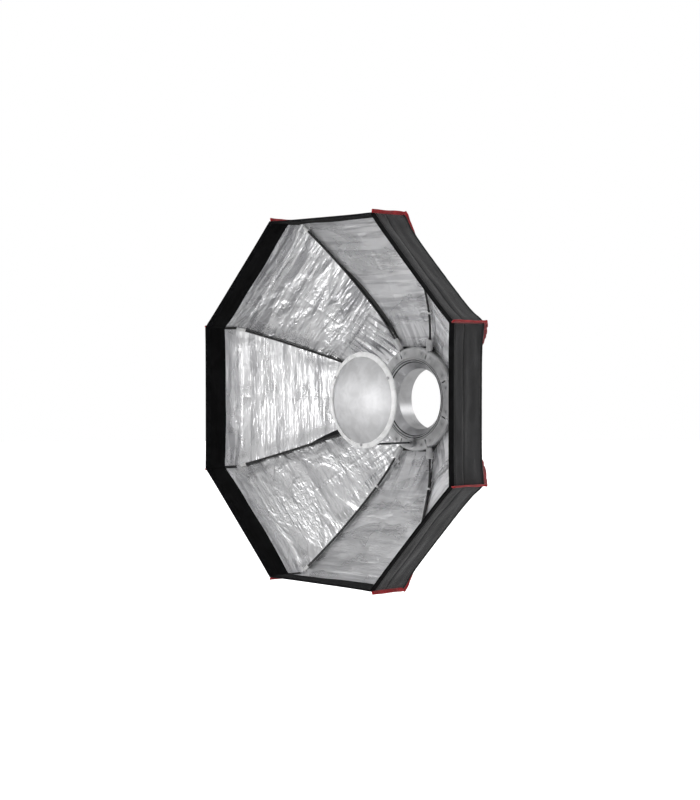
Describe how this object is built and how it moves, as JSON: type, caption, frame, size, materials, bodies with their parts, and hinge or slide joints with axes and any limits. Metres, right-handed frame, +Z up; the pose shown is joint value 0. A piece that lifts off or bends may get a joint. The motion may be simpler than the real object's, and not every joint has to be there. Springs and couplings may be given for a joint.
{
  "type": "octabox light modifier",
  "caption": "Octagonal folding softbox reflector on a round hub, with spring ribs, a silver lining, a deep front band, a dished deflector and a bayonet lamp adapter.",
  "frame": {"origin": "on the reflector's axis, at the adapter's rear seating face, where the lamp head meets it", "axes": "+Y along the axis towards the lamp, so light leaves towards -Y; +Z up; two of the eight flats face up and down"},
  "size_m": [0.6614, 0.294, 0.6614],
  "materials": {
    "hub_alloy": "cast, bead blasted",
    "collar_alloy": "satin dark grey",
    "adapter_alloy": "turned, satin",
    "steel": "zinc plated",
    "spring_steel": "oiled",
    "socket_grey": "satin",
    "rod_black": "satin black",
    "tip_white": "matte",
    "deflector_satin": "satin",
    "rim_white": "satin white",
    "stem_dark": "satin",
    "shell_cloth": "woven nylon",
    "silver_lining": "crinkled silver foil on cloth",
    "red_piping": "satin ribbon"
  },
  "bodies": {
    "adapter": {"lamp_adapter": "adapter_alloy", "retaining_ring": "spring_steel"},
    "hub": {"hub_front_plate": "hub_alloy", "hub_rear_plate": "hub_alloy", "shell_clamp_ring": "collar_alloy", "hub_screws": "steel", "hinge_pins": "steel", "deflector_dome": "deflector_satin", "deflector_rim": "rim_white", "deflector_screws": "steel", "deflector_stem": "stem_dark", "stem_nuts": "steel"},
    "rib_1": {"rib_bracket_1": "socket_grey", "rib_rod_1": "rod_black", "rod_tip_1": "tip_white", "shell_gore_1": "shell_cloth", "corner_piping_1": "red_piping"},
    "band_1": {"band_corner_1": "shell_cloth"},
    "rib_2": {"rib_bracket_2": "socket_grey", "rib_rod_2": "rod_black", "rod_tip_2": "tip_white", "shell_gore_2": "shell_cloth", "corner_piping_2": "red_piping"},
    "band_2": {"band_corner_2": "shell_cloth"},
    "rib_3": {"rib_bracket_3": "socket_grey", "rib_rod_3": "rod_black", "rod_tip_3": "tip_white", "shell_gore_3": "shell_cloth", "corner_piping_3": "red_piping"},
    "band_3": {"band_corner_3": "shell_cloth"},
    "rib_4": {"rib_bracket_4": "socket_grey", "rib_rod_4": "rod_black", "rod_tip_4": "tip_white", "shell_gore_4": "shell_cloth", "corner_piping_4": "red_piping"},
    "band_4": {"band_corner_4": "shell_cloth"},
    "rib_5": {"rib_bracket_5": "socket_grey", "rib_rod_5": "rod_black", "rod_tip_5": "tip_white", "shell_gore_5": "shell_cloth", "corner_piping_5": "red_piping"},
    "band_5": {"band_corner_5": "shell_cloth"},
    "rib_6": {"rib_bracket_6": "socket_grey", "rib_rod_6": "rod_black", "rod_tip_6": "tip_white", "shell_gore_6": "shell_cloth", "corner_piping_6": "red_piping"},
    "band_6": {"band_corner_6": "shell_cloth"},
    "rib_7": {"rib_bracket_7": "socket_grey", "rib_rod_7": "rod_black", "rod_tip_7": "tip_white", "shell_gore_7": "shell_cloth", "corner_piping_7": "red_piping"},
    "band_7": {"band_corner_7": "shell_cloth"},
    "rib_8": {"rib_bracket_8": "socket_grey", "rib_rod_8": "rod_black", "rod_tip_8": "tip_white", "shell_gore_8": "shell_cloth", "corner_piping_8": "red_piping"},
    "band_8": {"band_corner_8": "shell_cloth"}
  },
  "joints": [
    {"name": "hub_turn", "type": "hinge", "parent": "adapter", "child": "hub", "pos_m": [0, 0, 0], "axis": [0, 1, 0], "continuous": true},
    {"name": "rib_1_fold", "type": "hinge", "parent": "hub", "child": "rib_1", "pos_m": [0.08315, -0.044, 0.03444], "axis": [0.3827, 0, -0.9239], "range_deg": [0, 54], "deforming": ["shell_gore_1", "corner_piping_1"]},
    {"name": "band_1_fold", "type": "hinge", "parent": "rib_1", "child": "band_1", "pos_m": [0.32243, -0.207, 0.13356], "axis": [-0.3827, 0, 0.9239], "range_deg": [0, 54], "deforming": ["band_corner_1"]},
    {"name": "rib_2_fold", "type": "hinge", "parent": "hub", "child": "rib_2", "pos_m": [0.03444, -0.044, 0.08315], "axis": [0.9239, 0, -0.3827], "range_deg": [0, 54], "deforming": ["shell_gore_2", "corner_piping_2"]},
    {"name": "band_2_fold", "type": "hinge", "parent": "rib_2", "child": "band_2", "pos_m": [0.13356, -0.207, 0.32243], "axis": [-0.9239, 0, 0.3827], "range_deg": [0, 54], "deforming": ["band_corner_2"]},
    {"name": "rib_3_fold", "type": "hinge", "parent": "hub", "child": "rib_3", "pos_m": [-0.03444, -0.044, 0.08315], "axis": [0.9239, 0, 0.3827], "range_deg": [0, 54], "deforming": ["shell_gore_3", "corner_piping_3"]},
    {"name": "band_3_fold", "type": "hinge", "parent": "rib_3", "child": "band_3", "pos_m": [-0.13356, -0.207, 0.32243], "axis": [-0.9239, 0, -0.3827], "range_deg": [0, 54], "deforming": ["band_corner_3"]},
    {"name": "rib_4_fold", "type": "hinge", "parent": "hub", "child": "rib_4", "pos_m": [-0.08315, -0.044, 0.03444], "axis": [0.3827, 0, 0.9239], "range_deg": [0, 54], "deforming": ["shell_gore_4", "corner_piping_4"]},
    {"name": "band_4_fold", "type": "hinge", "parent": "rib_4", "child": "band_4", "pos_m": [-0.32243, -0.207, 0.13356], "axis": [-0.3827, 0, -0.9239], "range_deg": [0, 54], "deforming": ["band_corner_4"]},
    {"name": "rib_5_fold", "type": "hinge", "parent": "hub", "child": "rib_5", "pos_m": [-0.08315, -0.044, -0.03444], "axis": [-0.3827, 0, 0.9239], "range_deg": [0, 54], "deforming": ["shell_gore_5", "corner_piping_5"]},
    {"name": "band_5_fold", "type": "hinge", "parent": "rib_5", "child": "band_5", "pos_m": [-0.32243, -0.207, -0.13356], "axis": [0.3827, 0, -0.9239], "range_deg": [0, 54], "deforming": ["band_corner_5"]},
    {"name": "rib_6_fold", "type": "hinge", "parent": "hub", "child": "rib_6", "pos_m": [-0.03444, -0.044, -0.08315], "axis": [-0.9239, 0, 0.3827], "range_deg": [0, 54], "deforming": ["shell_gore_6", "corner_piping_6"]},
    {"name": "band_6_fold", "type": "hinge", "parent": "rib_6", "child": "band_6", "pos_m": [-0.13356, -0.207, -0.32243], "axis": [0.9239, 0, -0.3827], "range_deg": [0, 54], "deforming": ["band_corner_6"]},
    {"name": "rib_7_fold", "type": "hinge", "parent": "hub", "child": "rib_7", "pos_m": [0.03444, -0.044, -0.08315], "axis": [-0.9239, 0, -0.3827], "range_deg": [0, 54], "deforming": ["shell_gore_7", "corner_piping_7"]},
    {"name": "band_7_fold", "type": "hinge", "parent": "rib_7", "child": "band_7", "pos_m": [0.13356, -0.207, -0.32243], "axis": [0.9239, 0, 0.3827], "range_deg": [0, 54], "deforming": ["band_corner_7"]},
    {"name": "rib_8_fold", "type": "hinge", "parent": "hub", "child": "rib_8", "pos_m": [0.08315, -0.044, -0.03444], "axis": [-0.3827, 0, -0.9239], "range_deg": [0, 54], "deforming": ["shell_gore_8", "corner_piping_8"]},
    {"name": "band_8_fold", "type": "hinge", "parent": "rib_8", "child": "band_8", "pos_m": [0.32243, -0.207, -0.13356], "axis": [0.3827, 0, 0.9239], "range_deg": [0, 54], "deforming": ["band_corner_8"]}
  ],
  "couplings": [
    {"joint": "band_1_fold", "follows": "rib_1_fold", "ratio": 1},
    {"joint": "rib_2_fold", "follows": "rib_1_fold", "ratio": 1},
    {"joint": "band_2_fold", "follows": "rib_1_fold", "ratio": 1},
    {"joint": "rib_3_fold", "follows": "rib_1_fold", "ratio": 1},
    {"joint": "band_3_fold", "follows": "rib_1_fold", "ratio": 1},
    {"joint": "rib_4_fold", "follows": "rib_1_fold", "ratio": 1},
    {"joint": "band_4_fold", "follows": "rib_1_fold", "ratio": 1},
    {"joint": "rib_5_fold", "follows": "rib_1_fold", "ratio": 1},
    {"joint": "band_5_fold", "follows": "rib_1_fold", "ratio": 1},
    {"joint": "rib_6_fold", "follows": "rib_1_fold", "ratio": 1},
    {"joint": "band_6_fold", "follows": "rib_1_fold", "ratio": 1},
    {"joint": "rib_7_fold", "follows": "rib_1_fold", "ratio": 1},
    {"joint": "band_7_fold", "follows": "rib_1_fold", "ratio": 1},
    {"joint": "rib_8_fold", "follows": "rib_1_fold", "ratio": 1},
    {"joint": "band_8_fold", "follows": "rib_1_fold", "ratio": 1}
  ]
}
